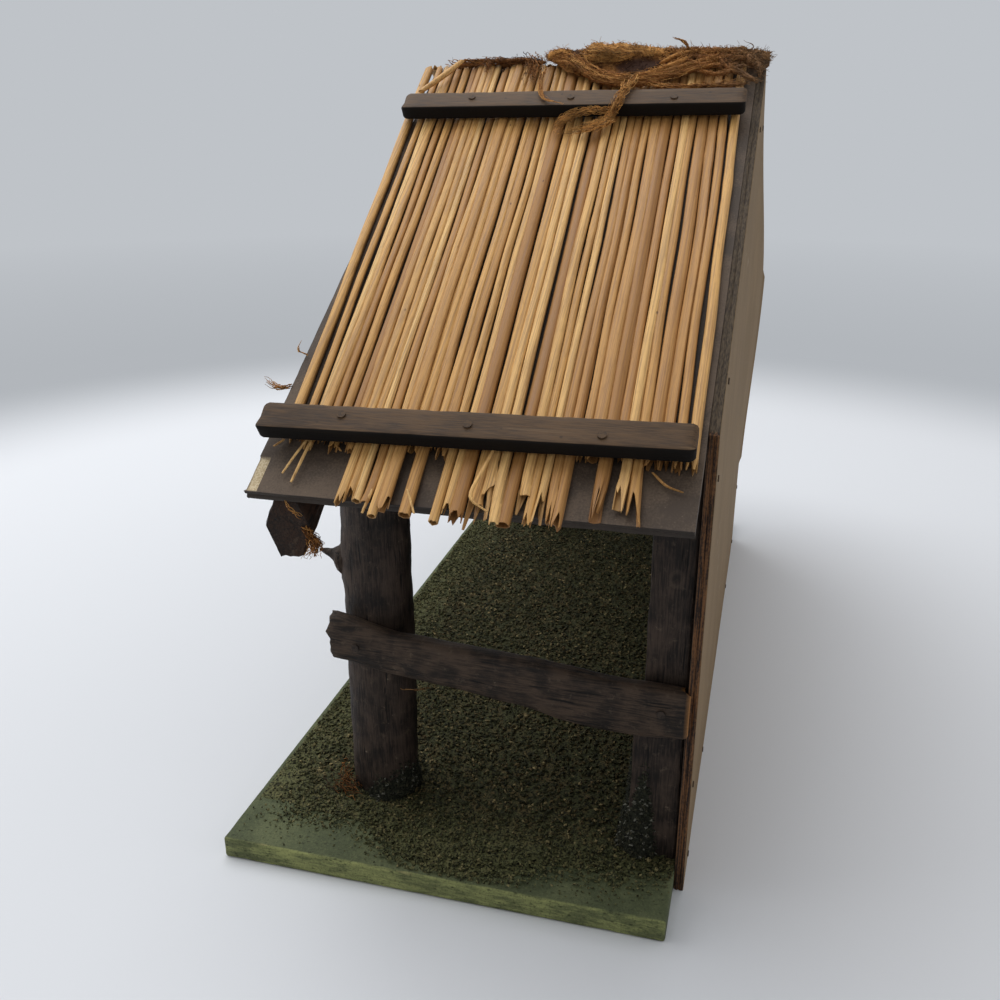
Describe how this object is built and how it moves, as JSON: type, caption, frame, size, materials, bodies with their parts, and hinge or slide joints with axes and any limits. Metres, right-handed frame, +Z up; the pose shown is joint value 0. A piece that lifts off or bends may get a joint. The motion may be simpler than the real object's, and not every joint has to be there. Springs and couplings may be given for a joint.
{
  "type": "wooden nativity stable",
  "caption": "Open-fronted gabled stable on a green base board: log posts, side rails, hardboard back wall and a straw roof held by battens, for nativity figures.",
  "frame": {"origin": "centre of the base board's underside, which rests on the shelf or table", "axes": "+X to the stable's right end as seen from its open front, -Y out of the open front, +Y to the back wall, +Z up"},
  "size_m": [0.3744, 0.1536, 0.2646],
  "materials": {
    "green_board": "thin scratched green paint on softwood",
    "scatter": "dark olive coloured sawdust glued down",
    "hardboard": "raw tan hardboard with dark fibrous edges",
    "stained_hardboard": "dark brown stain on hardboard",
    "straw": "dry golden straw",
    "stained_wood": "dark brown stained softwood",
    "dark_log": "dark stained logs with bark",
    "dried_fibre": "rusty dried plant fibre",
    "nail_steel": "dull stained steel nails"
  },
  "bodies": {
    "root": {"base_board": "green_board", "green_scatter": "scatter", "back_wall": "hardboard", "roof_board_right": "stained_hardboard", "roof_board_left": "stained_hardboard", "roof_straws_right": "straw", "roof_straws_left": "straw", "upper_batten_right": "stained_wood", "upper_batten_left": "stained_wood", "lower_batten_right": "stained_wood", "lower_batten_left": "stained_wood", "front_rafter_right": "dark_log", "front_rafter_left": "dark_log", "front_post_right": "dark_log", "front_post_left": "dark_log", "back_post_right": "dark_log", "back_post_left": "dark_log", "rail_right": "dark_log", "rail_left": "dark_log", "wall_cleat_right": "stained_wood", "wall_cleat_left": "stained_wood", "ridge_pole": "stained_wood", "ridge_moss": "dried_fibre", "batten_nails": "nail_steel", "rail_nails": "nail_steel", "base_nails": "nail_steel", "wall_pins": "nail_steel", "roof_pins": "nail_steel"}
  },
  "joints": []
}
